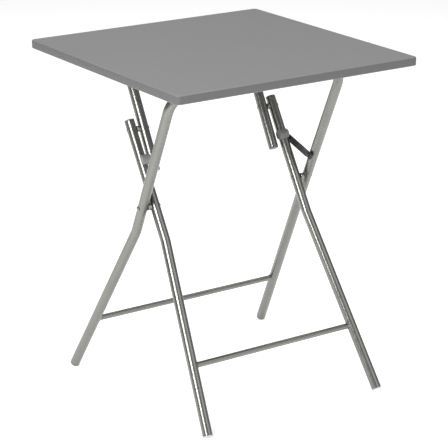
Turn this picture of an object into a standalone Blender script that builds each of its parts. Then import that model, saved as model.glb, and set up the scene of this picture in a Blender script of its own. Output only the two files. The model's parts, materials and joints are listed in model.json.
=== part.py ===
"""Folding tray table: a square top on two crossing tube frames, a folding prop frame and a side hook.

X runs along the crossbars, Y from the front of the table to its back, Z up from the floor.
The outer frame carries the top at the front, the prop frame carries it at the back and is pinned
to the inner frame, and the two frames cross on one pair of rivets, so the table folds flat.
Run with: blender --background --python part.py
"""
import math

import bmesh
import bpy
from mathutils import Vector

# Tabletop
TOP_HEIGHT = 0.750
TOP_WIDTH = 0.600
TOP_DEPTH = 0.600
TOP_THICKNESS = 0.019
TOP_CORNER_R = 0.010
TOP_ARRIS_R = 0.003

# Tubes
TUBE_R = 0.011
TUBE_WALL = 0.0012
CROSSBAR_R = 0.00625
CROSSBAR_WALL = 0.001
CROSSBAR_HEIGHT = 0.1345
CROSSBAR_ENTRY = 0.003

# Distance from the middle of the table to each tube's axis, at the three side-by-side leg planes
PROP_HALF = 0.156
INNER_HALF = PROP_HALF + 2 * TUBE_R + 0.0075
OUTER_HALF = INNER_HALF + 2 * TUBE_R + 0.009

# Side view: lean from the vertical, and drops measured from the top bars down
OUTER_LEAN = math.radians(24.4)
INNER_LEAN = math.radians(31.6)
CROSS_SETBACK = -0.0265
CROSS_DROP = 0.2815
INNER_REACH = 0.172
INNER_TOP_END = 0.0197
PROP_TAIL = 0.094

# Below the crossing each leg kinks outwards
OUTER_BEND_DROP = 0.0612
OUTER_FOOT_LEAN = 0.5717
OUTER_FOOT_SPLAY = 0.1177
INNER_BEND_DROP = 0.0677
INNER_FOOT_LEAN = 0.6099
INNER_FOOT_SPLAY = 0.1056
KINK_R = 0.10
OUTER_TOP_BEND_R = 0.055
PROP_TOP_BEND_R = 0.045

# Rivets, spacers, stud and boss
RIVET_R = 0.003
RIVET_HEAD_R = 0.0055
RIVET_HEAD_T = 0.0019
THIN_HEAD_R = 0.0046
THIN_HEAD_T = 0.0011
CROSS_SPACER_R = 0.0075
PROP_SPACER_R = 0.0065
BOSS_R = 0.0115
BOSS_SLAB = 0.0042
BOSS_FORWARD = 0.0082
BOSS_ABOVE_HOOK = 0.009
BOSS_WRAP = 0.0180
BOSS_EDGE_R = 0.0012
BOSS_PIN_R = 0.002
BOSS_PIN_HEAD_R = 0.004
BOSS_PIN_HEAD_T = 0.0011
BOSS_PIN_SINK = 0.0015

# Hook
HOOK_T = 0.003
HOOK_HALF_WIDTH = 0.008
HOOK_SETBACK = 0.0482
HOOK_STUD_RISE = 0.056
HOOK_STUD_R = 0.003
HOOK_TIP = 0.005
HOOK_SLOT_PLAY = 0.0004
HOOK_SLOT_SLANT = math.radians(22)
STUD_HEAD_R = 0.0055
STUD_HEAD_T = 0.0012

# Caps
CAP_EDGE_R = 0.0025
CAP_SEAT = 0.003
CAP_SPIGOT = 0.012

# Saddles that hold the top bars under the top
SADDLE_WALL = 0.0029
SADDLE_WIDTH = 0.022
SADDLE_FLANGE = 0.013
SADDLE_FLANGE_T = 0.0022
FRONT_SADDLE_X = 0.100
REAR_SADDLE_X = 0.080
SCREW_R = 0.0018
SCREW_HEAD_R = 0.0036
SCREW_HEAD_T = 0.0019
SCREW_DEPTH = 0.012

# Clearances
GAP = 0.0003
TURN_PLAY = 0.0003
HOLE_RUN = 0.004
SIDE_FACETS = 6

# Worked-out places in the side view, as (y, z)
BAR_DROP = TUBE_R + GAP + SADDLE_WALL + GAP
UNDERSIDE = TOP_HEIGHT - TOP_THICKNESS
BAR_HEIGHT = UNDERSIDE - BAR_DROP
CROSS_Z = BAR_HEIGHT - CROSS_DROP
FRONT_BAR_Y = CROSS_SETBACK - CROSS_DROP * math.tan(OUTER_LEAN)
PROP_PIN_Y = CROSS_SETBACK + INNER_REACH * math.sin(INNER_LEAN)
PROP_PIN_Z = CROSS_Z + INNER_REACH * math.cos(INNER_LEAN)
HOOK_Y = CROSS_SETBACK + HOOK_SETBACK
HOOK_Z = CROSS_Z + HOOK_SETBACK / math.tan(INNER_LEAN)
STUD_Z = CROSS_Z + HOOK_STUD_RISE
STUD_Y = CROSS_SETBACK - HOOK_STUD_RISE * math.tan(OUTER_LEAN)


def rear_bar_y():
    """The rear bar's place that lets the four links lie in one line when the table is folded."""
    spare = CROSS_DROP / math.cos(OUTER_LEAN) - INNER_REACH
    reach = FRONT_BAR_Y + spare
    rise = BAR_HEIGHT - PROP_PIN_Z
    return (reach ** 2 - PROP_PIN_Y ** 2 - rise ** 2) / (2 * (reach - PROP_PIN_Y))


REAR_BAR_Y = rear_bar_y()
ALONG_X = (math.pi / 2, 0.0, math.pi / 2)


def remove_everything():
    """Empty the scene and drop the data that the removed objects used."""
    for obj in list(bpy.data.objects):
        bpy.data.objects.remove(obj, do_unlink=True)
    bpy.data.orphans_purge(do_recursive=True)


def new_collection(name):
    """A collection linked to the scene."""
    collection = bpy.data.collections.new(name)
    bpy.context.scene.collection.children.link(collection)
    return collection


def material(name, colour, roughness, metallic):
    """A Principled material with the finish of one kind of piece."""
    made = bpy.data.materials.new(name)
    made.use_nodes = True
    shader = made.node_tree.nodes["Principled BSDF"]
    shader.inputs["Base Color"].default_value = (*colour, 1.0)
    shader.inputs["Roughness"].default_value = roughness
    shader.inputs["Metallic"].default_value = metallic
    made.diffuse_color = (*colour, 1.0)
    return made


def pivot(name, y, z):
    """An empty on a joint's axis that carries one moving body."""
    empty = bpy.data.objects.new(name, None)
    empty.empty_display_size = 0.03
    empty.location = (0.0, y, z)
    parts.objects.link(empty)
    return empty


def add_piece(name, data, body, finish, location=(0.0, 0.0, 0.0), rotation=(0.0, 0.0, 0.0)):
    """Put one sub-part at a world place, carried by its body's empty when it has one."""
    obj = bpy.data.objects.new(name, data)
    origin = Vector((0.0, 0.0, 0.0))
    if body is not None:
        obj.parent = body
        origin = body.location
    obj.location = Vector(location) - origin
    obj.rotation_euler = rotation
    obj.data.materials.append(finish)
    parts.objects.link(obj)
    return obj


def arc(centre, radius, start, end, steps):
    """Points on a circular arc in the plane, from one angle to the other."""
    angles = [start + (end - start) * i / steps for i in range(steps + 1)]
    return [(centre[0] + radius * math.cos(a), centre[1] + radius * math.sin(a)) for a in angles]


def rounded_path(corners, radii, steps=8):
    """A path through corner points, each inner corner rounded by an arc of its own radius."""
    path = [corners[0]]
    for before, corner, after, radius in zip(corners, corners[1:], corners[2:], radii):
        back = (before - corner).normalized()
        ahead = (after - corner).normalized()
        half = back.angle(ahead) / 2
        middle = corner + (back + ahead).normalized() * radius / math.sin(half)
        first = corner + back * radius / math.tan(half) - middle
        last = corner + ahead * radius / math.tan(half) - middle
        turn = first.angle(last)
        for i in range(steps + 1):
            share = i / steps
            point = first * math.sin((1 - share) * turn) + last * math.sin(share * turn)
            path.append(middle + point / math.sin(turn))
    path.append(corners[-1])
    return path


def mesh_from_curve(curve, weld=False):
    """Turn a curve into a mesh, with its caps welded on when it has any."""
    holder = bpy.data.objects.new("curve_holder", curve)
    parts.objects.link(holder)
    depsgraph = bpy.context.evaluated_depsgraph_get()
    mesh = bpy.data.meshes.new_from_object(holder.evaluated_get(depsgraph))
    bpy.data.objects.remove(holder)
    bpy.data.curves.remove(curve)
    if weld:
        shape = bmesh.new()
        shape.from_mesh(mesh)
        bmesh.ops.remove_doubles(shape, verts=shape.verts, dist=0.00001)
        shape.to_mesh(mesh)
        shape.free()
    return mesh


def tube(name, path, radius, wall, body, finish):
    """A tube bent along a path: an open round skin with its wall grown inwards."""
    curve = bpy.data.curves.new(name, "CURVE")
    curve.dimensions = "3D"
    curve.bevel_depth = radius
    curve.bevel_resolution = SIDE_FACETS
    spline = curve.splines.new("POLY")
    spline.points.add(len(path) - 1)
    origin = body.location if body is not None else Vector((0.0, 0.0, 0.0))
    for point, place in zip(spline.points, path):
        point.co = (*(place - origin), 1.0)
    obj = add_piece(name, mesh_from_curve(curve), body, finish, origin)
    shell = obj.modifiers.new("wall", "SOLIDIFY")
    shell.thickness = wall
    shell.offset = -1.0
    return obj


def turned(name, profile, location, rotation, body, finish):
    """A turned piece: a profile of (radius, height) points spun about its own Z axis."""
    mesh = bpy.data.meshes.new(name)
    points = [(radius, 0.0, height) for radius, height in profile]
    mesh.from_pydata(points, [(i, i + 1) for i in range(len(points) - 1)], [])
    obj = add_piece(name, mesh, body, finish, location, rotation)
    spin = obj.modifiers.new("spin", "SCREW")
    spin.steps = 28
    spin.render_steps = 28
    spin.use_merge_vertices = True
    spin.merge_threshold = 0.00001
    spin.use_normal_flip = True
    return obj


def flat_piece(name, outline, thickness, location, rotation, body, finish, holes=(), rounding=0.0):
    """A flat piece cut to an outline, with any holes, centred on its own mid-plane."""
    curve = bpy.data.curves.new(name, "CURVE")
    curve.dimensions = "2D"
    curve.fill_mode = "BOTH"
    curve.extrude = thickness / 2 - rounding
    curve.bevel_depth = rounding
    curve.bevel_resolution = 2
    curve.offset = -rounding
    for loop in (outline, *holes):
        spline = curve.splines.new("POLY")
        spline.points.add(len(loop) - 1)
        for point, (across, up) in zip(spline.points, loop):
            point.co = (across, up, 0.0, 1.0)
        spline.use_cyclic_u = True
    return add_piece(name, mesh_from_curve(curve, weld=True), body, finish, location, rotation)


def cutter(name, radius, start, end):
    """A round cutter between two points, kept out of sight in its own collection."""
    mesh = bpy.data.meshes.new(name)
    shape = bmesh.new()
    bmesh.ops.create_cone(shape, cap_ends=True, segments=24, radius1=radius, radius2=radius,
                          depth=(end - start).length)
    shape.to_mesh(mesh)
    shape.free()
    obj = bpy.data.objects.new(name, mesh)
    obj.location = (start + end) / 2
    obj.rotation_euler = (end - start).to_track_quat("Z", "Y").to_euler()
    obj.hide_render = True
    obj.display_type = "WIRE"
    cutters.objects.link(obj)
    return obj


def cross_cutter(name, radius, y, z, start_x, end_x):
    """A cutter that runs along X at a side-view place."""
    return cutter(name, radius, Vector((start_x, y, z)), Vector((end_x, y, z)))


def cut(piece, tool):
    """Take a cutter's shape away from a piece."""
    step = piece.modifiers.new(tool.name, "BOOLEAN")
    step.operation = "DIFFERENCE"
    step.solver = "EXACT"
    step.object = tool


def cap_profile(spigot_r):
    """A tube plug: a spigot below height 0, then a flange as wide as the tube with a rounded rim."""
    profile = [(0.0, -CAP_SPIGOT), (spigot_r, -CAP_SPIGOT), (spigot_r, 0.0), (TUBE_R, 0.0)]
    profile += arc((TUBE_R - CAP_EDGE_R, CAP_SEAT - CAP_EDGE_R), CAP_EDGE_R, 0.0, math.pi / 2, 6)
    profile.append((0.0, CAP_SEAT))
    return profile


def rivet_profile(shank_r, length, heads):
    """A rivet from height 0 up to its length, with a domed head outside either end, or a plain end."""
    (low_r, low_t), (high_r, high_t) = heads
    profile = []
    if low_t:
        profile += [(low_r * math.sin(a), -low_t * math.cos(a)) for a in (math.pi / 2 * i / 5 for i in range(6))]
        profile.append((shank_r, 0.0))
    else:
        profile += [(0.0, 0.0), (shank_r, 0.0)]
    profile.append((shank_r, length))
    if high_t:
        profile += [(high_r * math.cos(a), length + high_t * math.sin(a))
                    for a in (math.pi / 2 * i / 5 for i in range(5))]
        profile.append((0.0, length + high_t))
    else:
        profile.append((0.0, length))
    return profile


def along_x(side):
    """The turn that lays a turned piece's own Z along X, pointing away from the middle on each side."""
    return ALONG_X if side > 0 else (-math.pi / 2, 0.0, math.pi / 2)


def plug_tube(name, end, direction, body, finish):
    """A plug in a tube's end, where direction points out of the tube."""
    spigot_r = TUBE_R - TUBE_WALL - 2 * GAP
    turn = direction.to_track_quat("Z", "Y").to_euler()
    turned(name, cap_profile(spigot_r), end + direction * GAP, turn, body, finish)


def foot_end(kink, lean, splay):
    """The tube's end above a foot, and the leg's direction, so that the foot's cap just rests on the floor."""
    direction = Vector((splay, lean, -1.0)).normalized()
    tilt = math.acos(-direction.z)
    rest = CAP_EDGE_R * (1 - math.cos(tilt)) + (TUBE_R - CAP_EDGE_R) * math.sin(tilt)
    centre = kink + direction * ((kink.z - rest) / -direction.z)
    return centre - direction * (CAP_SEAT + GAP), direction


def leg_place(kink, lean, splay, height):
    """Where a lower leg's axis is at a height."""
    return kink + Vector((splay, lean, -1.0)) * (kink.z - height)


def side_view(x, y, z):
    """A point at a half-width and a side-view place."""
    return Vector((x, y, z))


def outer_kink(side):
    """The outer leg's kink below the crossing."""
    return side_view(side * OUTER_HALF, CROSS_SETBACK + OUTER_BEND_DROP * math.tan(OUTER_LEAN),
                     CROSS_Z - OUTER_BEND_DROP)


def inner_kink(side):
    """The inner leg's kink below the crossing."""
    return side_view(side * INNER_HALF, CROSS_SETBACK - INNER_BEND_DROP * math.tan(INNER_LEAN),
                     CROSS_Z - INNER_BEND_DROP)


def crossbar(name, half, y, body):
    """A crossbar whose ends enter the inner walls of two legs."""
    reach = half - (TUBE_R - TUBE_WALL) + CROSSBAR_ENTRY
    ends = [side_view(-reach, y, CROSSBAR_HEIGHT), side_view(reach, y, CROSSBAR_HEIGHT)]
    tube(name, ends, CROSSBAR_R, CROSSBAR_WALL, body, frame_paint)


def crossbar_hole(label, leg, side, half, y):
    """The hole in a leg's inner wall that takes a crossbar's end."""
    cut(leg, cross_cutter(f"cut_{label}", CROSSBAR_R + GAP, y, CROSSBAR_HEIGHT, side * half,
                          side * (half - 2 * TUBE_R)))


def build_outer_frame():
    """The outer frame: one bent tube with its crossbar, feet, crossing rivets and the hook's stud."""
    top = [side_view(side * OUTER_HALF, FRONT_BAR_Y, BAR_HEIGHT) for side in (-1, 1)]
    kinks = [outer_kink(side) for side in (-1, 1)]
    feet = [foot_end(kink, OUTER_FOOT_LEAN, side * OUTER_FOOT_SPLAY) for kink, side in zip(kinks, (-1, 1))]
    corners = [feet[0][0], kinks[0], *top, kinks[1], feet[1][0]]
    path = rounded_path(corners, [KINK_R, OUTER_TOP_BEND_R, OUTER_TOP_BEND_R, KINK_R])
    legs = tube("outer_leg_frame", path, TUBE_R, TUBE_WALL, None, frame_paint)
    for end, label in zip(feet, ("l", "r")):
        plug_tube(f"outer_foot_cap_{label}", *end, None, foot_plastic)
    bar = leg_place(kinks[1], OUTER_FOOT_LEAN, OUTER_FOOT_SPLAY, CROSSBAR_HEIGHT)
    crossbar("outer_crossbar", bar.x, bar.y, None)
    for side, label in ((-1, "l"), (1, "r")):
        crossbar_hole(f"outer_bar_{label}", legs, side, bar.x, bar.y)
        cut(legs, cross_cutter(f"cut_outer_cross_{label}", RIVET_R + TURN_PLAY, CROSS_SETBACK, CROSS_Z,
                               side * (OUTER_HALF - TUBE_R - HOLE_RUN),
                               side * (OUTER_HALF + TUBE_R + HOLE_RUN)))
        cross_rivet(side, label)
    cut(legs, cross_cutter("cut_stud", HOOK_STUD_R + GAP, STUD_Y, STUD_Z, OUTER_HALF - TUBE_R - HOLE_RUN,
                           OUTER_HALF))
    lock_stud()


def cross_rivet(side, label):
    """The rivet that pins an outer leg to an inner leg, and the spacer it holds between them."""
    start = INNER_HALF - TUBE_R - GAP
    length = OUTER_HALF + TUBE_R + GAP - start
    heads = ((THIN_HEAD_R, THIN_HEAD_T), (RIVET_HEAD_R, RIVET_HEAD_T))
    turned(f"cross_rivet_{label}", rivet_profile(RIVET_R, length, heads),
           (side * start, CROSS_SETBACK, CROSS_Z), along_x(side), None, rivet_steel)
    spacer("cross_spacer_" + label, side, INNER_HALF + TUBE_R, OUTER_HALF - TUBE_R, CROSS_SPACER_R,
           (CROSS_SETBACK, CROSS_Z), None)


def spacer(name, side, near_x, far_x, radius, place, body):
    """A steel ring round a rivet that keeps two tubes apart."""
    length = far_x - near_x - 2 * GAP
    bore = RIVET_R + TURN_PLAY
    edge = 0.0006
    profile = [(bore, 0.0), (radius - edge, 0.0), (radius, edge), (radius, length - edge),
               (radius - edge, length), (bore, length), (bore, 0.0)]
    turned(name, profile, (side * (near_x + GAP), *place), along_x(side), body, spacer_steel)


def lock_stud():
    """The headed stud on the right outer leg that the hook drops over."""
    head_x = INNER_HALF + TUBE_R + 0.0008
    length = OUTER_HALF - HOLE_RUN - head_x - STUD_HEAD_T
    profile = [(0.0, 0.0), (STUD_HEAD_R - 0.0004, 0.0), (STUD_HEAD_R, 0.0004), (STUD_HEAD_R, STUD_HEAD_T),
               (HOOK_STUD_R, STUD_HEAD_T), (HOOK_STUD_R, STUD_HEAD_T + length),
               (0.0, STUD_HEAD_T + length)]
    turned("lock_stud", profile, (head_x, STUD_Y, STUD_Z), ALONG_X, None, hook_steel)


def build_inner_frame(body):
    """The inner frame: two long legs joined by a crossbar, with caps, bosses and pins."""
    bar = leg_place(inner_kink(1), -INNER_FOOT_LEAN, INNER_FOOT_SPLAY, CROSSBAR_HEIGHT)
    crossbar("inner_crossbar", bar.x, bar.y, body)
    up = Vector((0.0, math.sin(INNER_LEAN), math.cos(INNER_LEAN)))
    for side, label in ((-1, "l"), (1, "r")):
        crossing = side_view(side * INNER_HALF, CROSS_SETBACK, CROSS_Z)
        top_end = crossing + up * (INNER_REACH + INNER_TOP_END)
        foot, down = foot_end(inner_kink(side), -INNER_FOOT_LEAN, side * INNER_FOOT_SPLAY)
        leg = tube(f"inner_leg_{label}", rounded_path([top_end, inner_kink(side), foot], [KINK_R]),
                   TUBE_R, TUBE_WALL, body, frame_paint)
        crossbar_hole(f"inner_bar_{label}", leg, side, bar.x, bar.y)
        through_hole(f"inner_cross_{label}", leg, side, CROSS_SETBACK, CROSS_Z)
        through_hole(f"inner_prop_{label}", leg, side, PROP_PIN_Y, PROP_PIN_Z)
        plug_tube(f"inner_foot_cap_{label}", foot, down, body, light_plastic)
        plug_tube(f"inner_top_cap_{label}", top_end, up, body, foot_plastic)
        prop_pin(side, label, body)
        rest_boss(side, label, leg, up, body)
        if side > 0:
            hook_rivet(leg, body)


def through_hole(label, leg, side, y, z):
    """A rivet hole through both walls of an inner leg."""
    cut(leg, cross_cutter(f"cut_{label}", RIVET_R + TURN_PLAY, y, z, side * (INNER_HALF - TUBE_R - HOLE_RUN),
                          side * (INNER_HALF + TUBE_R + HOLE_RUN)))


def prop_pin(side, label, body):
    """The rivet of the upper pin on the inner leg, with the spacer that stands off the prop frame."""
    start = PROP_HALF + TUBE_R + 2 * GAP
    length = INNER_HALF + TUBE_R + GAP - start
    turned(f"prop_pin_{label}", rivet_profile(RIVET_R, length, ((0.0, 0.0), (THIN_HEAD_R, THIN_HEAD_T))),
           (side * start, PROP_PIN_Y, PROP_PIN_Z), along_x(side), body, rivet_steel)
    spacer("prop_spacer_" + label, side, PROP_HALF + TUBE_R, INNER_HALF - TUBE_R, PROP_SPACER_R,
           (PROP_PIN_Y, PROP_PIN_Z), body)


def rest_boss(side, label, leg, up, body):
    """The round plastic boss clipped against the inner leg's front and inner side, and its pin."""
    forward = Vector((0.0, -math.cos(INNER_LEAN), math.sin(INNER_LEAN)))
    on_leg = Vector((0.0, HOOK_Y, HOOK_Z)) + up * BOSS_ABOVE_HOOK
    centre = on_leg + forward * BOSS_FORWARD
    start = INNER_HALF - TUBE_R - GAP - BOSS_SLAB
    edge = BOSS_EDGE_R
    length = BOSS_SLAB + BOSS_WRAP
    profile = [(0.0, 0.0), *arc((BOSS_R - edge, edge), edge, -math.pi / 2, 0.0, 4),
               *arc((BOSS_R - edge, length - edge), edge, 0.0, math.pi / 2, 4), (0.0, length)]
    boss = turned(f"rest_boss_{label}", profile, (side * start, centre.y, centre.z), along_x(side), body,
                  boss_plastic)
    seat = side_view(side * INNER_HALF, on_leg.y, on_leg.z)
    cut(boss, cutter(f"cut_boss_seat_{label}", TUBE_R + GAP, seat - up * 0.04, seat + up * 0.04))
    inside = INNER_HALF - TUBE_R + TUBE_WALL + 0.002
    for piece, name in ((boss, "boss_pin"), (leg, "leg_pin")):
        cut(piece, cross_cutter(f"cut_{name}_{label}", BOSS_PIN_R + GAP, on_leg.y, on_leg.z,
                                side * (start - HOLE_RUN), side * INNER_HALF))
    sunk = start + BOSS_PIN_SINK
    cut(boss, cross_cutter(f"cut_boss_sink_{label}", BOSS_PIN_HEAD_R + GAP, on_leg.y, on_leg.z,
                           side * (start - HOLE_RUN), side * sunk))
    heads = ((BOSS_PIN_HEAD_R, BOSS_PIN_HEAD_T), (0.0, 0.0))
    turned(f"rest_boss_pin_{label}", rivet_profile(BOSS_PIN_R, inside - sunk + GAP, heads),
           (side * (sunk - GAP), on_leg.y, on_leg.z), along_x(side), body, rivet_steel)


def hook_rivet(leg, body):
    """The rivet that the hook turns on, set in the right inner leg's outer wall."""
    wall = INNER_HALF + TUBE_R
    cut(leg, cross_cutter("cut_hook_rivet", RIVET_R + TURN_PLAY, HOOK_Y, HOOK_Z, INNER_HALF, wall + HOLE_RUN))
    start = wall - HOLE_RUN
    length = wall + hook_offset() + HOOK_T / 2 + GAP - start
    turned("hook_rivet", rivet_profile(RIVET_R, length, ((0.0, 0.0), (THIN_HEAD_R, THIN_HEAD_T))),
           (start, HOOK_Y, HOOK_Z), ALONG_X, body, rivet_steel)


def hook_offset():
    """How far the hook's mid-plane stands off the inner leg: half of the gap between the two frames."""
    return (OUTER_HALF - INNER_HALF - 2 * TUBE_R) / 2


def build_hook(body):
    """The flat hook: round at its rivet, with a slanted slot that drops over the stud."""
    reach = math.hypot(STUD_Y - HOOK_Y, STUD_Z - HOOK_Z)
    slot_r = HOOK_STUD_R + HOOK_SLOT_PLAY
    lean = HOOK_SLOT_SLANT
    fall = Vector((-math.sin(lean), -math.cos(lean)))
    across = Vector((-math.cos(lean), math.sin(lean))) * slot_r
    seat = Vector((reach, 0.0))

    def mouth(wall_point):
        """Where a slot wall meets the hook's lower edge."""
        return wall_point + fall * ((wall_point.y + HOOK_HALF_WIDTH) / -fall.y)

    outline = arc((0.0, 0.0), HOOK_HALF_WIDTH, math.pi / 2, 1.5 * math.pi, 12)
    outline.append(tuple(mouth(seat + across)))
    outline += arc(seat, slot_r, math.pi - lean, -lean, 10)
    outline.append(tuple(mouth(seat - across)))
    outline += arc((reach + HOOK_TIP, 0.0), HOOK_HALF_WIDTH, -math.pi / 2, math.pi / 2, 12)
    bore = arc((0.0, 0.0), RIVET_R + TURN_PLAY, 0.0, 2 * math.pi * 15 / 16, 15)
    aim = math.atan2(STUD_Z - HOOK_Z, STUD_Y - HOOK_Y)
    turned_outline = [turn_back(point, aim) for point in outline]
    flat_piece("lock_hook", turned_outline, HOOK_T,
               (INNER_HALF + TUBE_R + hook_offset(), HOOK_Y, HOOK_Z), ALONG_X, body, hook_steel, [bore])


def turn_back(point, aim):
    """A hook point from its own length and upward sides to the side view's Y and Z."""
    length, upward = point
    return (length * math.cos(aim) + upward * math.sin(aim), length * math.sin(aim) - upward * math.cos(aim))


def build_prop_frame(body):
    """The prop frame: a short bent tube pinned to the inner legs, with capped free ends."""
    down = Vector((0.0, PROP_PIN_Y - REAR_BAR_Y, PROP_PIN_Z - BAR_HEIGHT)).normalized()
    tails = [side_view(side * PROP_HALF, PROP_PIN_Y, PROP_PIN_Z) + down * PROP_TAIL for side in (-1, 1)]
    tops = [side_view(side * PROP_HALF, REAR_BAR_Y, BAR_HEIGHT) for side in (-1, 1)]
    path = rounded_path([tails[0], *tops, tails[1]], [PROP_TOP_BEND_R, PROP_TOP_BEND_R])
    frame = tube("prop_frame", path, TUBE_R, TUBE_WALL, body, frame_paint)
    start = PROP_HALF - TUBE_R - GAP
    for side, label, tail in ((-1, "l", tails[0]), (1, "r", tails[1])):
        cut(frame, cross_cutter(f"cut_prop_pin_{label}", RIVET_R + TURN_PLAY, PROP_PIN_Y, PROP_PIN_Z,
                                side * (start - HOLE_RUN), side * (PROP_HALF + TUBE_R + HOLE_RUN)))
        plug_tube(f"prop_end_cap_{label}", tail, down, body, foot_plastic)
        heads = ((THIN_HEAD_R, THIN_HEAD_T), (0.0, 0.0))
        turned(f"prop_pin_head_{label}", rivet_profile(RIVET_R, 2 * TUBE_R, heads),
               (side * start, PROP_PIN_Y, PROP_PIN_Z), along_x(side), body, rivet_steel)


def saddle_outline():
    """A strap bent round the underside of a bar, with a flange on either side against the top."""
    inner = TUBE_R + GAP
    outer = inner + SADDLE_WALL
    top = BAR_DROP - GAP
    low = top - SADDLE_FLANGE_T
    return [(-outer - SADDLE_FLANGE, top), (-outer - SADDLE_FLANGE, low), (-outer, low),
            *arc((0.0, 0.0), outer, math.pi, 2 * math.pi, 16),
            (outer, low), (outer + SADDLE_FLANGE, low), (outer + SADDLE_FLANGE, top), (inner, top),
            *arc((0.0, 0.0), inner, 2 * math.pi, math.pi, 16), (-inner, top)]


def build_top(body):
    """The top panel and the four screwed saddles that hold the two bars under it."""
    half_w = TOP_WIDTH / 2 - TOP_CORNER_R
    half_d = TOP_DEPTH / 2 - TOP_CORNER_R
    outline = []
    for quarter, (sign_x, sign_y) in enumerate(((1, 1), (-1, 1), (-1, -1), (1, -1))):
        start = quarter * math.pi / 2
        outline += arc((sign_x * half_w, sign_y * half_d), TOP_CORNER_R, start, start + math.pi / 2, 8)
    panel = flat_piece("tabletop_panel", outline, TOP_THICKNESS,
                       (0.0, 0.0, TOP_HEIGHT - TOP_THICKNESS / 2), (0.0, 0.0, 0.0), body, top_grey,
                       rounding=TOP_ARRIS_R)
    for row, x, y in (("front", FRONT_SADDLE_X, FRONT_BAR_Y), ("rear", REAR_SADDLE_X, REAR_BAR_Y)):
        for side, label in ((-1, "l"), (1, "r")):
            build_saddle(f"{row}_{label}", side * x, y, panel, body)


def build_saddle(label, x, y, panel, body):
    """One saddle, its two screws, and their holes in the saddle and the panel."""
    saddle = flat_piece(f"saddle_{label}", saddle_outline(), SADDLE_WIDTH, (x, y, BAR_HEIGHT), ALONG_X, body,
                        saddle_plastic)
    reach = TUBE_R + GAP + SADDLE_WALL + SADDLE_FLANGE / 2
    low = UNDERSIDE - GAP - SADDLE_FLANGE_T
    profile = [(0.0, -SCREW_HEAD_T), (SCREW_HEAD_R * 0.6, -SCREW_HEAD_T),
               (SCREW_HEAD_R * 0.9, -SCREW_HEAD_T * 0.6), (SCREW_HEAD_R, 0.0), (SCREW_R, 0.0),
               (SCREW_R, SCREW_DEPTH - SCREW_R), (0.0, SCREW_DEPTH)]
    for way, end in ((-1, "a"), (1, "b")):
        place = Vector((x, y + way * reach, low))
        hole = cutter(f"cut_screw_{label}_{end}", SCREW_R + GAP, place - Vector((0, 0, HOLE_RUN)),
                      place + Vector((0, 0, SCREW_DEPTH + GAP)))
        cut(saddle, hole)
        cut(panel, hole)
        turned(f"saddle_screw_{label}_{end}", profile, place - Vector((0, 0, GAP)), (0.0, 0.0, 0.0), body,
               rivet_steel)


remove_everything()
parts = new_collection("folding_tray_table")
cutters = new_collection("cutters")
top_grey = material("top_grey", (0.27, 0.27, 0.272), 0.55, 0.0)
frame_paint = material("frame_paint", (0.34, 0.34, 0.32), 0.35, 0.6)
foot_plastic = material("foot_plastic", (0.24, 0.24, 0.23), 0.55, 0.0)
light_plastic = material("light_plastic", (0.62, 0.62, 0.60), 0.50, 0.0)
spacer_steel = material("spacer_steel", (0.45, 0.45, 0.44), 0.35, 1.0)
boss_plastic = material("boss_plastic", (0.17, 0.17, 0.172), 0.50, 0.0)
saddle_plastic = material("saddle_plastic", (0.12, 0.12, 0.12), 0.50, 0.0)
rivet_steel = material("rivet_steel", (0.55, 0.55, 0.54), 0.30, 1.0)
hook_steel = material("hook_steel", (0.05, 0.05, 0.052), 0.45, 0.3)

build_outer_frame()
build_inner_frame(pivot("pivot_inner_frame", CROSS_SETBACK, CROSS_Z))
build_hook(pivot("pivot_lock_hook", HOOK_Y, HOOK_Z))
build_top(pivot("pivot_tabletop", FRONT_BAR_Y, BAR_HEIGHT))
build_prop_frame(pivot("pivot_prop_frame", REAR_BAR_Y, BAR_HEIGHT))
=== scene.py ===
"""Looks of the folding tray table: board, tubes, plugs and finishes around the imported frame."""

import json
import math

import bmesh
import bpy
import numpy as np
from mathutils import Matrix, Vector


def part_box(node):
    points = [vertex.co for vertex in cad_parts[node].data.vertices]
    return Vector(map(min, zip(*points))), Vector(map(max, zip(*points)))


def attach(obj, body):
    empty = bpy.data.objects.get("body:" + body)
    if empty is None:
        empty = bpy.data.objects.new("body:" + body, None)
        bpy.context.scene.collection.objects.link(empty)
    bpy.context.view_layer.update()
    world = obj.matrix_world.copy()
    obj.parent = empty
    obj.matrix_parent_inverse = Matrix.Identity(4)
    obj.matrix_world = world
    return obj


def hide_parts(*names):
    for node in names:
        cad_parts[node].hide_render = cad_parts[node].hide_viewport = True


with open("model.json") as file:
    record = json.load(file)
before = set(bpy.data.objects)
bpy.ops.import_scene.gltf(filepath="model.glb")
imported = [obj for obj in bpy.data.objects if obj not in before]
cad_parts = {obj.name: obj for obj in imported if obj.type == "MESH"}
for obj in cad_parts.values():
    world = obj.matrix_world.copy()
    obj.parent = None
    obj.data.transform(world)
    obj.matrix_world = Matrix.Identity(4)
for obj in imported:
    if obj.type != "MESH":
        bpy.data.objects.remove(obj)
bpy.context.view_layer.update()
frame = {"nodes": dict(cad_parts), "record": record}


# ---------------------------------------------------------------- studio
# A pale seamless floor under soft light: one wide softbox overhead, one from the left that draws the
# bright line down the tubes, and a weak fill from the right, seen from the front left corner.
FLOOR_HALF = 14.0
FLOOR_DROP = 0.0004
FLOOR_WHITE = 0.93
FLOOR_GLOW = 0.52
FLOOR_ROUGHNESS = 0.9
FLOOR_SHEEN = 0.1
AIR_STRENGTH = 0.30
SOFTBOXES = (  # name, place, aim, width, height, watts
    ("softbox_over", (0.3, 0.6, 3.6), (0.0, 0.0, 0.4), 3.4, 3.4, 80.0),
    ("strip_left", (-2.22, -1.22, 1.76), (-0.1, 0.0, 0.5), 0.85, 1.5, 58.0),
    ("softbox_right", (1.0, -2.7, 1.9), (0.0, 0.0, 0.4), 2.4, 2.5, 21.0),
)
CAMERA_PLACE = Vector((-2.0989, -3.1481, 1.6234))
CAMERA_AIM = Vector((0.52835, 0.78687, -0.31889))
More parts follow.
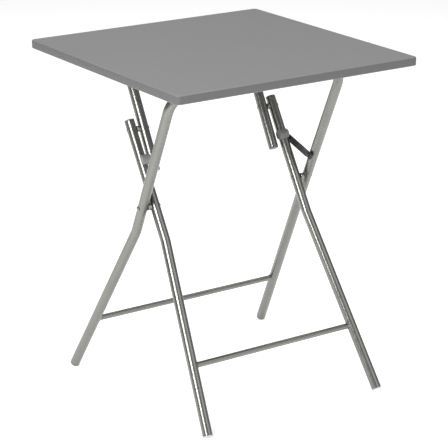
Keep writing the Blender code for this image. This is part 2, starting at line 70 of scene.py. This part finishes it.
CAMERA_ROLL = math.radians(0.0402)
CAMERA_LENS = 144.79
CAMERA_SENSOR = 36.0
CAMERA_SHIFT = (-0.0044, 0.0010)
CAMERA_REACH = 60.0


def build_floor():
    """A flat square of even white paper just under the feet, which glows a little of its own."""
    square = ((-1, -1), (1, -1), (1, 1), (-1, 1))
    corners = [(x * FLOOR_HALF, y * FLOOR_HALF, -FLOOR_DROP) for x, y in square]
    mesh = bpy.data.meshes.new("studio_floor")
    mesh.from_pydata(corners, [], [(0, 1, 2, 3)])
    floor = bpy.data.objects.new("studio_floor", mesh)
    bpy.context.collection.objects.link(floor)
    paper = bpy.data.materials.new("studio_paper")
    paper.use_nodes = True
    shader = paper.node_tree.nodes["Principled BSDF"]
    shader.inputs["Emission Color"].default_value = (1.0, 1.0, 1.0, 1.0)
    shader.inputs["Emission Strength"].default_value = FLOOR_GLOW
    shader.inputs["Base Color"].default_value = (FLOOR_WHITE, FLOOR_WHITE, FLOOR_WHITE, 1.0)
    shader.inputs["Roughness"].default_value = FLOOR_ROUGHNESS
    shader.inputs["Specular IOR Level"].default_value = FLOOR_SHEEN
    mesh.materials.append(paper)


def softbox(name, place, aim, width, height, power):
    """A rectangular area light at a place, pointed at another."""
    light = bpy.data.lights.new(name, "AREA")
    light.shape = "RECTANGLE"
    light.size = width
    light.size_y = height
    light.energy = power
    holder = bpy.data.objects.new(name, light)
    holder.location = place
    holder.rotation_euler = (Vector(aim) - Vector(place)).to_track_quat("-Z", "Y").to_euler()
    bpy.context.collection.objects.link(holder)


def build_studio():
    """World, softboxes and camera."""
    scene = bpy.context.scene
    scene.view_settings.view_transform = "Standard"
    world = bpy.data.worlds.new("studio_air")
    world.use_nodes = True
    background = world.node_tree.nodes["Background"]
    background.inputs["Color"].default_value = (1.0, 1.0, 1.0, 1.0)
    background.inputs["Strength"].default_value = AIR_STRENGTH
    scene.world = world
    for box in SOFTBOXES:
        softbox(*box)
    view = bpy.data.cameras.new("camera")
    view.lens = CAMERA_LENS
    view.sensor_width = CAMERA_SENSOR
    view.shift_x, view.shift_y = CAMERA_SHIFT
    view.clip_end = CAMERA_REACH
    camera = bpy.data.objects.new("camera", view)
    camera.location = CAMERA_PLACE
    camera.rotation_euler = CAMERA_AIM.to_track_quat("-Z", "Y").to_euler()
    camera.rotation_euler.rotate_axis("Z", CAMERA_ROLL)
    bpy.context.collection.objects.link(camera)
    scene.camera = camera


build_floor()
build_studio()


# ---------------------------------------------------------------- tabletop
# One square of fibreboard with rounded corners and eased arrises, lacquered a matte grey all over.
# Its edge faces carry painted shade: they are coloured darker than the top. It lies on four saddles,
# screwed from below.
CORNER_R = 0.010
ARRIS_R = 0.003
SHOULDER = 0.001
CORNER_STEPS = 14
SIDE_STEPS = 24


def low(node):
    """A node's lowest corner."""
    return np.array(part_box(node)[0], float)


def high(node):
    """A node's highest corner."""
    return np.array(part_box(node)[1], float)


def quarter(centre, radius, start_deg, end_deg, steps=8):
    """Profile points on an arc: centre + radius * (cos t, sin t)."""
    t = np.radians(np.linspace(start_deg, end_deg, steps + 1))
    return [(centre[0] + radius * math.cos(a), centre[1] + radius * math.sin(a)) for a in t]


def grid_faces(rows, columns, wrap_rows=False, wrap_columns=True):
    """Quads between neighbouring grid points: corner (i, j) joins (i+1, j), (i+1, j+1) and (i, j+1)."""
    i = np.arange(rows if wrap_rows else rows - 1)[:, None]
    j = np.arange(columns if wrap_columns else columns - 1)[None, :]
    i_next, j_next = (i + 1) % rows, (j + 1) % columns
    corners = [i * columns + j, i * columns + j_next, i_next * columns + j_next, i_next * columns + j]
    return np.stack([np.broadcast_to(c, (i.size, j.size)) for c in corners], -1).reshape(-1, 4)


def mesh_piece(name, points, faces, finish, sharp_deg=38.0):
    """A welded, outward-facing mesh object at the origin, smooth except along its sharp edges."""
    mesh = bpy.data.meshes.new(name)
    corners = np.asarray(points, float).reshape(-1, 3).tolist()
    mesh.from_pydata(corners, [], np.asarray(faces).tolist())
    shape = bmesh.new()
    shape.from_mesh(mesh)
    bmesh.ops.remove_doubles(shape, verts=shape.verts, dist=1e-6)
    bmesh.ops.dissolve_degenerate(shape, edges=shape.edges, dist=1e-7)
    bmesh.ops.recalc_face_normals(shape, faces=shape.faces)
    shape.to_mesh(mesh)
    shape.free()
    mesh.shade_smooth()
    mesh.set_sharp_from_angle(angle=math.radians(sharp_deg))
    mesh.materials.append(finish)
    piece = bpy.data.objects.new(name, mesh)
    bpy.context.collection.objects.link(piece)
    return piece


def carry(piece, body, slot, *nodes):
    """The piece rides on its body and stands for its CAD nodes, which it hides; the slot is not used."""
    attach(piece, body)
    if nodes:
        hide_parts(*nodes)
    return piece


class Finish:
    """A material under construction: its Principled shader and the object coordinates it reads."""

    def __init__(self, name, roughness, metallic):
        self.material = bpy.data.materials.new(name)
        self.material.use_nodes = True
        self.tree = self.material.node_tree
        self.shader = self.tree.nodes["Principled BSDF"]
        self.shader.inputs["Roughness"].default_value = roughness
        self.shader.inputs["Metallic"].default_value = metallic
        coordinates = self.tree.nodes.new("ShaderNodeTexCoord")
        self.place = coordinates.outputs["Object"]
        self.facing = coordinates.outputs["Normal"]

    def noise(self, scale, detail=3.0, stretch=(1.0, 1.0, 1.0)):
        """Noise at a scale per metre, stretched along the axes."""
        mapping = self.tree.nodes.new("ShaderNodeMapping")
        mapping.inputs["Scale"].default_value = stretch
        self.tree.links.new(self.place, mapping.inputs["Vector"])
        node = self.tree.nodes.new("ShaderNodeTexNoise")
        node.inputs["Scale"].default_value = scale
        node.inputs["Detail"].default_value = detail
        self.tree.links.new(mapping.outputs["Vector"], node.inputs["Vector"])
        return node.outputs["Fac"]

    def ramp(self, value, stops):
        """A colour ramp through (position, colour) stops."""
        node = self.tree.nodes.new("ShaderNodeValToRGB")
        elements = node.color_ramp.elements
        while len(elements) < len(stops):
            elements.new(0.5)
        for element, (position, colour) in zip(elements, stops):
            element.position = position
            element.color = (*colour, 1.0)
        self.tree.links.new(value, node.inputs["Fac"])
        return node.outputs["Color"]

    def spread(self, value, low_end, high_end):
        """The value carried from 0.3..0.7 to a new range."""
        node = self.tree.nodes.new("ShaderNodeMapRange")
        node.inputs["From Min"].default_value = 0.3
        node.inputs["From Max"].default_value = 0.7
        node.inputs["To Min"].default_value = low_end
        node.inputs["To Max"].default_value = high_end
        self.tree.links.new(value, node.inputs["Value"])
        return node.outputs["Result"]

    def blend(self, share, first, second):
        """Two colours mixed by a share."""
        node = self.tree.nodes.new("ShaderNodeMix")
        node.data_type = "RGBA"
        for socket, value in ((node.inputs[0], share), (node.inputs[6], first), (node.inputs[7], second)):
            self.tree.links.new(value, socket)
        return node.outputs[2]

    def colour(self, value):
        """Drive the base colour."""
        self.tree.links.new(value, self.shader.inputs["Base Color"])

    def gloss(self, value, low_end, high_end):
        """Drive the roughness between two values."""
        self.tree.links.new(self.spread(value, low_end, high_end), self.shader.inputs["Roughness"])

    def relief(self, value, depth, strength=1.0):
        """Fine bumps of a depth in metres."""
        node = self.tree.nodes.new("ShaderNodeBump")
        node.inputs["Distance"].default_value = depth
        node.inputs["Strength"].default_value = strength
        self.tree.links.new(value, node.inputs["Height"])
        self.tree.links.new(node.outputs["Normal"], self.shader.inputs["Normal"])


def grey(level):
    """A neutral grey."""
    return (level, level, level)


def board_lacquer_and_edge_shade():
    """Matte grey lacquer: a fine even grain under soft satin on the faces, with painted shade on the edge,
    where faces that stand upright are coloured a darker grey.
    """
    made = Finish("board_lacquer_and_edge_shade", 0.52, 0.0)
    grain = made.ramp(made.noise(2600.0, 3.0), [(0.30, grey(0.182)), (0.70, grey(0.207))])
    cloud = made.ramp(made.noise(6.0, 3.0), [(0.25, grey(0.188)), (0.75, grey(0.200))])
    face = made.blend(made.noise(300.0, 1.0), grain, cloud)
    upward = made.tree.nodes.new("ShaderNodeSeparateXYZ")
    made.tree.links.new(made.facing, upward.inputs["Vector"])
    # Painted shade: the upright edge faces, found from the normal's height, take a darker grey than the top
    # and bottom.
    edge = made.ramp(made.noise(900.0, 3.0), [(0.30, grey(0.106)), (0.70, grey(0.122))])
    level = made.tree.nodes.new("ShaderNodeMath")
    level.operation = "ABSOLUTE"
    made.tree.links.new(upward.outputs["Z"], level.inputs[0])
    side = made.ramp(level.outputs["Value"], [(0.25, grey(0.0)), (0.85, grey(1.0))])
    made.colour(made.blend(side, edge, face))
    made.gloss(made.noise(240.0, 4.0), 0.46, 0.58)
    made.relief(made.noise(3800.0, 3.0), 0.000008, 0.5)
    return made.material


def square_outline(half):
    """A rounded square seen from above, as points and their outward directions: at each corner an arc
    centre + CORNER_R * (cos a, sin a) over a quarter turn, then a straight side to the next corner."""
    points, outward = [], []
    inner = np.asarray(half) - CORNER_R
    for quarter_turn, sign in enumerate(((1, 1), (-1, 1), (-1, -1), (1, -1))):
        a = np.linspace(0, np.pi / 2, CORNER_STEPS + 1) + quarter_turn * np.pi / 2
        facing = np.stack([np.cos(a), np.sin(a)], 1)
        arc = sign * inner + CORNER_R * facing
        sign_next = (-sign[1], sign[0])
        end = sign_next * inner + CORNER_R * facing[-1]
        s = np.linspace(0, 1, SIDE_STEPS + 1)[1:-1, None]
        points += [arc, arc[-1] + (end - arc[-1]) * s]
        outward += [facing, np.repeat(facing[-1:], len(s), 0)]
    return np.concatenate(points), np.concatenate(outward)


def build_tabletop():
    """The outline carried down a side profile of (inset, height): shoulder, arris, edge, arris, shoulder.
    At an inset of the corner radius it is a plain square, which an even grid of quads fills."""
    bottom, top = low("tabletop_panel"), high("tabletop_panel")
    centre, half = (bottom + top) / 2, (top - bottom)[:2] / 2
    outline, outward = square_outline(half)
    profile = [(CORNER_R, top[2]), (ARRIS_R + SHOULDER, top[2])]
    profile += [(ARRIS_R - x, z) for x, z in quarter((0.0, top[2] - ARRIS_R), ARRIS_R, 90, 0)]
    profile += [(ARRIS_R - x, z) for x, z in quarter((0.0, bottom[2] + ARRIS_R), ARRIS_R, 0, -90)]
    profile += [(ARRIS_R + SHOULDER, bottom[2]), (CORNER_R, bottom[2])]
    profile = np.array(profile)
    flat = outline[None] - profile[:, 0, None, None] * outward[None] + centre[:2]
    heights = np.broadcast_to(profile[:, 1, None, None], (*flat.shape[:2], 1))
    points = [np.concatenate([flat, heights], 2).reshape(-1, 3)]
    faces = [grid_faces(*flat.shape[:2])]
    across = [centre[k] + np.linspace(-1.0, 1.0, SIDE_STEPS + 1) * (half[k] - CORNER_R) for k in (0, 1)]
    for height in (top[2], bottom[2]):
        faces.append(grid_faces(SIDE_STEPS + 1, SIDE_STEPS + 1, wrap_columns=False) + sum(map(len, points)))
        points.append(np.stack([*np.meshgrid(*across, indexing="ij"),
                                np.full((SIDE_STEPS + 1,) * 2, height)], -1).reshape(-1, 3))
    board = mesh_piece("tabletop_board", np.concatenate(points), np.concatenate(faces), board_lacquer_and_edge_shade())
    carry(board, "tabletop", "top_grey", "tabletop_panel")


build_tabletop()


# ---------------------------------------------------------------- leg tubes
# Round steel tube, bent cold and painted silver. The outer frame is one length bent four times, the
# prop frame is one length bent twice, and each inner leg is a length of its own with one kink. They
# turn on the crossing rivets, on the upper pins and in the saddles, whose places are the joints'.
TUBE_R = 0.011
TUBE_WALL = 0.0012
TUBE_SIDES = 48
GAP = 0.0003
BAR_ENTRY = 0.003
OUTER_KINK_DROP = 0.0612
INNER_KINK_DROP = 0.0677
KINK_R = 0.10
OUTER_BEND_R = 0.055
PROP_BEND_R = 0.045
INNER_TOP_END = 0.0197
PROP_TAIL = 0.094
CAP_SEAT = 0.003
CAP_EDGE_R = 0.0025
RIM_EASE = 0.35


def joint_place(name):
    """Where a joint of the frame turns."""
    joints = frame["record"]["behaviour"]["joints"]
    return np.array([joint["pos_m"] for joint in joints if joint["name"] == name][0], float)


def middle(node):
    """The middle of a node's box."""
    return (low(node) + high(node)) / 2


def unit(vectors):
    """Vectors divided by their own lengths."""
    vectors = np.asarray(vectors, float)
    return vectors / np.linalg.norm(vectors, axis=-1, keepdims=True)


def ring_frames(route, facing):
    """At each route point, two unit vectors across the route: facing made square to it, and their cross."""
    step = np.gradient(route, axis=0)
    tangent = unit(step)
    across = unit(facing - (tangent @ facing)[:, None] * tangent)
    return across, np.cross(tangent, across)


def round_skin(route, radius, facing, sides):
    """Rings round a route: point = route + radius * (cos a * across + sin a * up), for a from 0 to 2 pi."""
    across, up = ring_frames(route, facing)
    a = np.linspace(0.0, 2 * np.pi, sides, endpoint=False)
    spread = np.cos(a)[None, :, None] * across[:, None] + np.sin(a)[None, :, None] * up[:, None]
    return route[:, None] + radius * spread


def rounded_route(corners, radii, steps=20):
    """A route through corners, each inner one eased by an arc: middle + first*sin(1-s) + last*sin(s)."""
    corners = [np.array(c, float) for c in corners]
    route = [corners[0][None]]
    for before, corner, after, radius in zip(corners, corners[1:], corners[2:], radii):
        back, ahead = unit(before - corner), unit(after - corner)
        half = math.acos(float(np.clip(back @ ahead, -1, 1))) / 2
        centre = corner + unit(back + ahead) * radius / math.sin(half)
        first = corner + back * radius / math.tan(half) - centre
        last = corner + ahead * radius / math.tan(half) - centre
        turn = math.pi - 2 * half
        s = np.linspace(0.0, 1.0, steps + 1)[:, None]
        arc = first * np.sin((1 - s) * turn) + last * np.sin(s * turn)
        route.append(centre + arc / math.sin(turn))
    route.append(corners[-1][None])
    return np.concatenate(route)


def even_route(route, spacing=0.012):
    """The same route with extra points on its straight runs, so that no ring is far from the next."""
    gaps = np.linalg.norm(np.diff(route, axis=0), axis=1)
    along = np.concatenate([[0.0], np.cumsum(gaps)])
    extra = [np.linspace(a, b, max(2, int((b - a) / spacing) + 1)) for a, b in zip(along, along[1:])]
    places = np.unique(np.round(np.concatenate(extra), 7))
    return np.stack([np.interp(places, along, route[:, k]) for k in range(3)], 1)


def hollow_tube(name, route, radius, wall, facing, finish, sides=TUBE_SIDES):
    """An open-ended tube: the outer skin's rings, eased over each rim, then the inner skin's rings back."""
    ease = wall * RIM_EASE
    tail = unit(route[-1] - route[-2])
    head = unit(route[0] - route[1])
    outer = np.concatenate([(route[0] - head * ease)[None], route[1:-1], (route[-1] - tail * ease)[None]])
    rim = round_skin(route, radius - ease, facing, sides)
    inner = round_skin(route, radius - wall, facing, sides)
    points = np.concatenate([round_skin(outer, radius, facing, sides), rim[-1:], inner[::-1], rim[:1]])
    return mesh_piece(name, points, grid_faces(len(points), sides, wrap_rows=True), finish)


def silver(level):
    """A faintly green-warm silver grey."""
    return (level * 0.985, level, level * 0.925)


def tube_paint():
    """Silver paint: metal flake in a clear binder, rolled smooth, with a few dull patches."""
    made = Finish("tube_paint", 0.26, 0.9)
    flake = made.ramp(made.noise(5200.0, 2.0), [(0.35, silver(0.215)), (0.65, silver(0.250))])
    cloud = made.ramp(made.noise(28.0, 4.0), [(0.30, silver(0.210)), (0.70, silver(0.240))])
    made.colour(made.blend(made.noise(900.0, 1.0), flake, cloud))
    made.gloss(made.noise(60.0, 5.0), 0.22, 0.29)
    return made.material


def sided(side, place):
    """A place mirrored to one side of the table: its X taken as a half-width."""
    return np.array([side * abs(place[0]), place[1], place[2]])


def leg_joint(bar_node):
    """Where a crossbar meets the right leg's axis."""
    centre = middle(bar_node)
    reach = high(bar_node)[0] - BAR_ENTRY + TUBE_R - TUBE_WALL
    return np.array([reach, centre[1], centre[2]])


def foot_point(kink, joint):
    """The tube's end above its foot cap, whose rounded rim rests on the floor, and the leg's direction."""
    direction = unit(joint - kink)
    tilt = math.acos(-direction[2])
    rest = CAP_EDGE_R * (1 - math.cos(tilt)) + (TUBE_R - CAP_EDGE_R) * math.sin(tilt)
    centre = kink + direction * (kink[2] - rest) / -direction[2]
    return centre - direction * (CAP_SEAT + GAP), direction


CROSSING = joint_place("legs_fold")
FRONT_BAR = joint_place("top_fold")
REAR_BAR = joint_place("prop_fold")
PROP_PIN = middle("prop_pin_r") * [0.0, 1.0, 1.0]
PROP_HALF = high("prop_frame")[0] - TUBE_R
INNER_HALF = low("cross_spacer_r")[0] - GAP - TUBE_R
OUTER_HALF = high("cross_spacer_r")[0] + GAP + TUBE_R
OUTER_LEAN = math.atan2(CROSSING[1] - FRONT_BAR[1], FRONT_BAR[2] - CROSSING[2])
INNER_LEAN = math.atan2(PROP_PIN[1] - CROSSING[1], PROP_PIN[2] - CROSSING[2])
OUTER_KINK = np.array([OUTER_HALF, CROSSING[1] + OUTER_KINK_DROP * math.tan(OUTER_LEAN),
                       CROSSING[2] - OUTER_KINK_DROP])
INNER_KINK = np.array([INNER_HALF, CROSSING[1] - INNER_KINK_DROP * math.tan(INNER_LEAN),
                       CROSSING[2] - INNER_KINK_DROP])
OUTER_JOINT = leg_joint("outer_crossbar")
INNER_JOINT = leg_joint("inner_crossbar")
OUTER_FOOT, OUTER_DOWN = foot_point(OUTER_KINK, OUTER_JOINT)
INNER_FOOT, INNER_DOWN = foot_point(INNER_KINK, INNER_JOINT)
INNER_UP = np.array([0.0, math.sin(INNER_LEAN), math.cos(INNER_LEAN)])
INNER_TOP = np.array([INNER_HALF, PROP_PIN[1], PROP_PIN[2]]) + INNER_UP * INNER_TOP_END
PROP_DOWN = unit(PROP_PIN - REAR_BAR * [0.0, 1.0, 1.0])
PROP_END = np.array([PROP_HALF, PROP_PIN[1], PROP_PIN[2]]) + PROP_DOWN * PROP_TAIL
TUBE_PAINT = tube_paint()


def build_leg_tubes():
    """Each tube's route is its corner points with every bend eased by an arc of the bender's radius."""
    top = np.array([OUTER_HALF, FRONT_BAR[1], FRONT_BAR[2]])
    half = [OUTER_FOOT, OUTER_KINK, top]
    corners = [sided(-1, p) for p in half] + [sided(1, p) for p in half[::-1]]
    route = rounded_route(corners, [KINK_R, OUTER_BEND_R, OUTER_BEND_R, KINK_R])
    facing = np.array([0.0, math.cos(OUTER_LEAN), math.sin(OUTER_LEAN)])
    outer = hollow_tube("outer_frame_tube", even_route(route), TUBE_R, TUBE_WALL, facing, TUBE_PAINT)
    carry(outer, "outer_frame", "frame_paint", "outer_leg_frame")
    facing = np.array([0.0, math.cos(INNER_LEAN), -math.sin(INNER_LEAN)])
    for side, label in ((-1, "l"), (1, "r")):
        corners = [sided(side, INNER_TOP), sided(side, INNER_KINK), sided(side, INNER_FOOT)]
        leg = hollow_tube(f"inner_leg_tube_{label}", even_route(rounded_route(corners, [KINK_R])), TUBE_R,
                          TUBE_WALL, facing, TUBE_PAINT)
        carry(leg, "inner_frame", "frame_paint", f"inner_leg_{label}")
    top = np.array([PROP_HALF, REAR_BAR[1], REAR_BAR[2]])
    corners = [sided(-1, PROP_END), sided(-1, top), top, PROP_END]
    facing = np.array([0.0, -PROP_DOWN[2], PROP_DOWN[1]])
    prop = hollow_tube("prop_frame_tube", even_route(rounded_route(corners, [PROP_BEND_R] * 2)), TUBE_R,
                       TUBE_WALL, facing, TUBE_PAINT)
    carry(prop, "prop_frame", "frame_paint", "prop_frame")


build_leg_tubes()


# ---------------------------------------------------------------- crossbars
# Thin steel tube pushed through the legs' inner walls and welded round, painted with the frame. The
# weld is a small rippled bead that follows the line where the two tubes meet.
BAR_R = (high("inner_crossbar")[2] - low("inner_crossbar")[2]) / 2
BAR_WALL = 0.001
BAR_SIDES = 40
BEAD_R = 0.0013
BEAD_RIPPLES = 17
BEAD_RIPPLE_SHARE = 0.16
BEAD_STEPS = 96
BEAD_SIDES = 12


def weld_line(joint, down, side):
    """Where the bar's skin meets the leg's skin: for each angle round the bar, the point on the line along
    X whose distance from the leg's axis is the leg's radius, on the inner side."""
    a = np.linspace(0.0, 2 * np.pi, BEAD_STEPS, endpoint=False)
    offset = np.stack([np.zeros(BEAD_STEPS), BAR_R * np.cos(a), BAR_R * np.sin(a)], 1)
    ax = np.array([1.0, 0.0, 0.0])
    across_x = ax - (ax @ down) * down
    across_o = offset - (offset @ down)[:, None] * down
    qa = across_x @ across_x
    qb = 2 * across_o @ across_x
    qc = (across_o ** 2).sum(1) - TUBE_R ** 2
    reach = (-qb - side * np.sqrt(np.maximum(qb ** 2 - 4 * qa * qc, 0.0))) / (2 * qa)
    return joint + offset + reach[:, None] * ax, a


def build_bead(name, joint, down, side, body):
    """A bead swept round the weld line, of radius BEAD_R * (1 + BEAD_RIPPLE_SHARE * cos(ripples * a))."""
    line, a = weld_line(joint, down, side)
    closed = np.concatenate([line[-1:], line, line[:1]])
    tangent = unit(closed[2:] - closed[:-2])
    radial = unit(np.stack([np.zeros_like(a), np.cos(a), np.sin(a)], 1))
    radial = unit(radial - (radial * tangent).sum(1)[:, None] * tangent)
    other = np.cross(tangent, radial)
    b = np.linspace(0.0, 2 * np.pi, BEAD_SIDES, endpoint=False)
    size = BEAD_R * (1 + BEAD_RIPPLE_SHARE * np.cos(BEAD_RIPPLES * a))
    ring = np.cos(b)[None, :, None] * radial[:, None] + np.sin(b)[None, :, None] * other[:, None]
    points = line[:, None] + size[:, None, None] * ring
    bead = mesh_piece(name, points, grid_faces(len(line), BEAD_SIDES, wrap_rows=True), TUBE_PAINT, 80.0)
    carry(bead, body, "frame_paint")


def build_crossbars():
    """A straight hollow bar between each pair of legs, with a bead at both ends."""
    for label, joint, down, body in (("outer", OUTER_JOINT, OUTER_DOWN, "outer_frame"),
                                     ("inner", INNER_JOINT, INNER_DOWN, "inner_frame")):
        node = f"{label}_crossbar"
        reach = high(node)[0]
        ends = np.array([[-reach, joint[1], joint[2]], [reach, joint[1], joint[2]]])
        bar = hollow_tube(f"{label}_bar_tube", even_route(ends), BAR_R, BAR_WALL, np.array([0.0, 1.0, 0.0]),
                          TUBE_PAINT, BAR_SIDES)
        carry(bar, body, "frame_paint", node)
        for side, end in ((-1, "l"), (1, "r")):
            build_bead(f"{label}_weld_{end}", sided(side, joint), down * [side, 1.0, 1.0], side, body)


build_crossbars()


# ---------------------------------------------------------------- plugs
# Moulded plugs pushed into the tubes' ends and held by their grip: dark at the outer feet and the free
# upper ends, pale at the inner feet. Each has an eased rim, a shallow dish and a fine line at the tube.
SPIGOT_LONG = 0.012
SPIGOT_EASE = 0.001
GROOVE_DEEP = 0.0004
GROOVE_LONG = 0.0003
GROOVE_FLARE = 0.0005
DISH_DEEP = 0.0006
DISH_OUTER = 0.62
DISH_INNER = 0.55
DISH_CENTRE = 0.12


def turned_points(profile, place, direction, sides):
    """A profile of (radius, height) spun about a direction d with sides u and v: each point is
    place + height * d + radius * (cos a * u + sin a * v)."""
    profile = np.asarray(profile, float)
    d = unit(np.asarray(direction, float))
    u = unit(np.cross(d, [0.0, 0.0, 1.0] if abs(d[2]) < 0.9 else [1.0, 0.0, 0.0]))
    v = np.cross(d, u)
    a = np.linspace(0.0, 2 * np.pi, sides, endpoint=False)
    ring = np.cos(a)[:, None] * u + np.sin(a)[:, None] * v
    return np.asarray(place, float) + profile[:, 1, None, None] * d + profile[:, 0, None, None] * ring[None]


def turned_piece(name, profile, place, direction, finish, sides=56, sharp_deg=38.0):
    """A closed turned solid; its profile starts and ends on the axis, or returns to where it began."""
    points = turned_points(profile, place, direction, sides)
    return mesh_piece(name, points, grid_faces(len(profile), sides), finish, sharp_deg)


def moulded(name, level, roughness):
    """Moulded plastic: one even colour with cloudy gloss and the fine spark-eroded grain of its mould."""
    made = Finish(name, roughness, 0.0)
    shades = [(0.30, grey(level * 0.93)), (0.70, grey(level * 1.06))]
    made.colour(made.ramp(made.noise(420.0, 4.0), shades))
    made.gloss(made.noise(180.0, 4.0), roughness - 0.06, roughness + 0.08)
    made.relief(made.noise(4200.0, 2.0), 0.00001, 0.5)
    return made.material


def plug_profile():
    """Half-section of a plug: spigot, shoulder, a fine groove, flange with an eased rim, shallow dish."""
    spigot_r = TUBE_R - TUBE_WALL - 2 * GAP
    groove_r = TUBE_R - GROOVE_DEEP
    floor = CAP_SEAT - DISH_DEEP
    profile = [(0.0, -SPIGOT_LONG), (spigot_r - SPIGOT_EASE, -SPIGOT_LONG),
               (spigot_r, -SPIGOT_LONG + SPIGOT_EASE), (spigot_r, 0.0), (groove_r, 0.0),
               (groove_r, GROOVE_LONG), (TUBE_R, GROOVE_FLARE)]
    profile += quarter((TUBE_R - CAP_EDGE_R, CAP_SEAT - CAP_EDGE_R), CAP_EDGE_R, 0, 90, 10)
    profile += [(TUBE_R * DISH_OUTER, CAP_SEAT), (TUBE_R * DISH_INNER, floor),
                (TUBE_R * DISH_CENTRE, floor), (0.0, floor)]
    return profile


def build_plugs():
    """Every tube end gets its plug, pointing out of the tube."""
    dark = (moulded("foot_plastic_moulded", 0.20, 0.50), "foot_plastic")
    pale = (moulded("pale_plastic_moulded", 0.55, 0.45), "light_plastic")
    plugs = (("outer_foot_cap", OUTER_FOOT, OUTER_DOWN, "outer_frame", dark),
             ("inner_foot_cap", INNER_FOOT, INNER_DOWN, "inner_frame", pale),
             ("inner_top_cap", INNER_TOP, INNER_UP, "inner_frame", dark),
             ("prop_end_cap", PROP_END, PROP_DOWN, "prop_frame", dark))
    for side, label in ((-1, "l"), (1, "r")):
        for kind, end, direction, body, (finish, slot) in plugs:
            node = f"{kind}_{label}"
            way = direction * [side, 1.0, 1.0]
            plug = turned_piece(f"plug_{node}", plug_profile(), sided(side, end) + way * GAP, way, finish)
            carry(plug, body, slot, node)


build_plugs()


# ---------------------------------------------------------------- rest bosses
# Round moulded bosses clipped round the inner legs above the hook, each held by a small pin. They keep
# the shape of the frame's own solids.
def dress(finish, *nodes):
    """Solids of the frame that stay in view take a finish."""
    for node in nodes:
        materials = frame["nodes"][node].data.materials
        materials.clear()
        materials.append(finish)


dress(moulded("boss_plastic_moulded", 0.205, 0.45), "rest_boss_l", "rest_boss_r")


# ---------------------------------------------------------------- spacers
# Short turned steel collars on the crossing rivets and the upper pins, zinc-plated, which keep the
# tubes apart. They keep the shape of the frame's own solids.
def plated_steel():
    """Zinc-plated steel: bright, faintly mottled, with fine scratches from the press."""
    made = Finish("plated_steel", 0.28, 1.0)
    made.colour(made.ramp(made.noise(700.0, 4.0), [(0.30, silver(0.26)), (0.70, silver(0.34))]))
    made.gloss(made.noise(1600.0, 3.0, (1.0, 0.2, 0.2)), 0.28, 0.42)
    made.relief(made.noise(2600.0, 2.0), 0.000005, 0.4)
    return made.material


dress(plated_steel(), "cross_spacer_l", "cross_spacer_r", "prop_spacer_l", "prop_spacer_r")


# ---------------------------------------------------------------- saddles
# Moulded clips under the board, dark grey, that the two frames' top bars turn in; each is held by two
# screws. They keep the shape of the frame's own solids.
dress(moulded("saddle_plastic_moulded", 0.12, 0.50),
      *(f"saddle_{row}_{side}" for row in ("front", "rear") for side in "lr"))


# ---------------------------------------------------------------- rivets, pins and screws
# Headed steel rivets and pins through the tubes, and wood screws up through the saddles, all
# zinc-plated. They keep the shape of the frame's own solids.
dress(plated_steel(), "cross_rivet_l", "cross_rivet_r", "prop_pin_l", "prop_pin_r", "prop_pin_head_l",
      "prop_pin_head_r", "rest_boss_pin_l", "rest_boss_pin_r", "hook_rivet",
      *(f"saddle_screw_{row}_{side}_{end}" for row in ("front", "rear") for side in "lr" for end in "ab"))


# ---------------------------------------------------------------- hook and stud
# A flat bar pressed from sheet steel, painted dark, that swings on its rivet and drops over a headed
# stud on the outer leg. Both keep the shape of the frame's own solids.
def hook_paint():
    """Dark painted sheet steel with rubbed, slightly brighter streaks."""
    made = Finish("hook_paint", 0.42, 0.35)
    made.colour(made.ramp(made.noise(520.0, 5.0, (1.0, 0.25, 1.0)),
                          [(0.35, grey(0.040)), (0.62, grey(0.058)), (0.78, grey(0.11))]))
    made.gloss(made.noise(300.0, 4.0), 0.36, 0.50)
    made.relief(made.noise(2200.0, 2.0), 0.000008, 0.5)
    return made.material


dress(hook_paint(), "lock_hook", "lock_stud")
